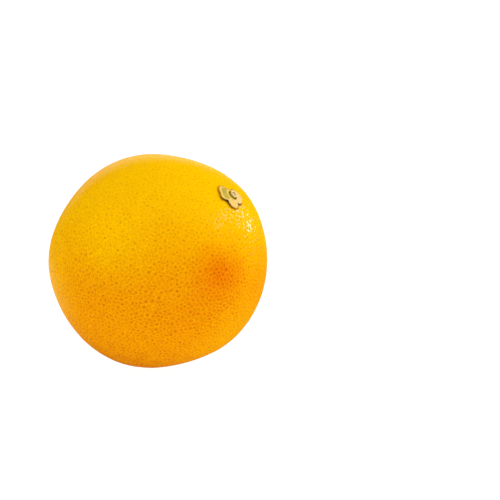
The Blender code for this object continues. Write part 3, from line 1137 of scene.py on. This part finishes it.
class GRAPEFRUIT_OT_make_calyx(Operator):
    """Model the dried calyx with its curled sepals, and put it in place of the plain one"""

    bl_idname = "grapefruit.make_calyx"
    bl_label = "Make Calyx"

    def execute(self, context):
        look = context.scene.grapefruit_calyx
        bm = new_calyx_ring()
        shape_calyx(bm, look)
        material = make_calyx_material(look)
        add_piece("dried_calyx", bm, material, "calyx", sharp_degrees=80)
        return {"FINISHED"}


class GRAPEFRUIT_OT_make_stem_end(Operator):
    """Model the woody end of the stem, and put it in place of the plain peg"""

    bl_idname = "grapefruit.make_stem_end"
    bl_label = "Make Stem End"

    def execute(self, context):
        material = make_stem_material(context.scene.grapefruit_stem)
        add_piece(
            "woody_stem_end", new_stub(), material, "stem_stub", sharp_degrees=60,
        )
        return {"FINISHED"}


# Stage


def add_camera():
    """The photograph's view: the camera looks straight ahead, past the fruit."""
    right = Vector((1, 0, 0))
    up = Vector((0, math.sin(CAMERA_RISE), math.cos(CAMERA_RISE)))
    toward = Vector((0, -math.cos(CAMERA_RISE), math.sin(CAMERA_RISE)))
    pixel = CAMERA_DISTANCE * SENSOR_WIDTH / (LENS * PICTURE_SIDE)
    fruit_right = (FRUIT_IN_PICTURE[0] - PICTURE_SIDE / 2) * pixel
    fruit_up = (PICTURE_SIDE / 2 - FRUIT_IN_PICTURE[1]) * pixel
    data = bpy.data.cameras.new("camera")
    data.lens = LENS
    data.sensor_width = SENSOR_WIDTH
    camera = add_object("camera", data)
    camera.location = MIDDLE + toward * CAMERA_DISTANCE - right * fruit_right - up * fruit_up
    camera.rotation_euler = (math.pi / 2 - CAMERA_RISE, 0, 0)
    bpy.context.scene.camera = camera


def add_softbox(name, softbox, power):
    """A soft lamp that faces the fruit and isn't itself seen, but for in the gloss if it
    shows there.
    """
    data = bpy.data.lights.new(name, "AREA")
    data.shape = "RECTANGLE"
    data.size = softbox.width
    data.size_y = softbox.height
    data.energy = power
    lamp = add_object(name, data)
    lamp.location = MIDDLE + softbox.direction.normalized() * softbox.distance
    lamp.rotation_mode = "QUATERNION"
    lamp.rotation_quaternion = softbox.direction.to_track_quat("Z", "Y")
    lamp.visible_camera = False
    lamp.visible_glossy = softbox.in_gloss


def add_daylight(strength, gloss_strength, backdrop_strength):
    """Even white light from all sides. It hardly shows in gloss, but for a bright patch
    behind the fruit.
    """
    world = bpy.data.worlds.new("daylight")
    world.use_nodes = True
    tree = world.node_tree
    way = add_node(tree, "TexCoord").outputs["Generated"]
    nearness = calculate_vector(tree, "DOT_PRODUCT", way, BACKDROP_DIRECTION.normalized())
    in_gloss = remap(tree, nearness, *BACKDROP_RANGE, gloss_strength, backdrop_strength)
    is_gloss = add_node(tree, "LightPath").outputs["Is Glossy Ray"]
    chosen = mix(tree, is_gloss, strength, in_gloss, kind="FLOAT")
    set_inputs(tree, tree.nodes["Background"], {"Color": (1, 1, 1), "Strength": chosen})
    bpy.context.scene.world = world


def add_floor(color, glow):
    bm = bmesh.new()
    bmesh.ops.create_circle(bm, cap_ends=True, segments=FLOOR_STEPS, radius=FLOOR_RADIUS)
    add_mesh_object("floor", bm, make_floor_material(color, glow))


class GRAPEFRUIT_OT_set_stage(Operator):
    """Set up the pale floor, the soft lights and the photograph's view"""

    bl_idname = "grapefruit.set_stage"
    bl_label = "Set Stage"

    def execute(self, context):
        look = context.scene.grapefruit_stage
        add_floor(look.floor, look.floor_glow)
        add_daylight(look.daylight, look.gloss_daylight, look.backdrop)
        for name, softbox in SOFTBOXES.items():
            add_softbox(name, softbox, getattr(look, f"{name}_power"))
        add_camera()
        context.scene.view_settings.view_transform = "Standard"
        return {"FINISHED"}


class VIEW3D_PT_grapefruit(Panel):
    bl_label = "Grapefruit"
    bl_space_type = "VIEW_3D"
    bl_region_type = "UI"
    bl_category = "Grapefruit"

    def draw(self, context):
        for operator, settings in PANEL_ROWS:
            box = self.layout.box()
            box.operator(operator.bl_idname)
            group = getattr(context.scene, settings)
            for name in group.__annotations__:
                box.prop(group, name)


PANEL_ROWS = (
    (GRAPEFRUIT_OT_make_rind, "grapefruit_rind"),
    (GRAPEFRUIT_OT_make_calyx, "grapefruit_calyx"),
    (GRAPEFRUIT_OT_make_stem_end, "grapefruit_stem"),
    (GRAPEFRUIT_OT_set_stage, "grapefruit_stage"),
)
SETTINGS = {
    "grapefruit_rind": RindSettings,
    "grapefruit_calyx": CalyxSettings,
    "grapefruit_stem": StemSettings,
    "grapefruit_stage": StageSettings,
}
CLASSES = (*SETTINGS.values(), *(operator for operator, _ in PANEL_ROWS), VIEW3D_PT_grapefruit)


def register():
    for item in CLASSES:
        bpy.utils.register_class(item)
    for name, settings in SETTINGS.items():
        setattr(bpy.types.Scene, name, PointerProperty(type=settings))


def unregister():
    for name in SETTINGS:
        delattr(bpy.types.Scene, name)
    for item in reversed(CLASSES):
        bpy.utils.unregister_class(item)


def main():
    register()
    build_groups()
    bpy.ops.grapefruit.make_rind()
    bpy.ops.grapefruit.make_calyx()
    bpy.ops.grapefruit.make_stem_end()
    bpy.ops.grapefruit.set_stage()


if __name__ == "__main__":
    main()
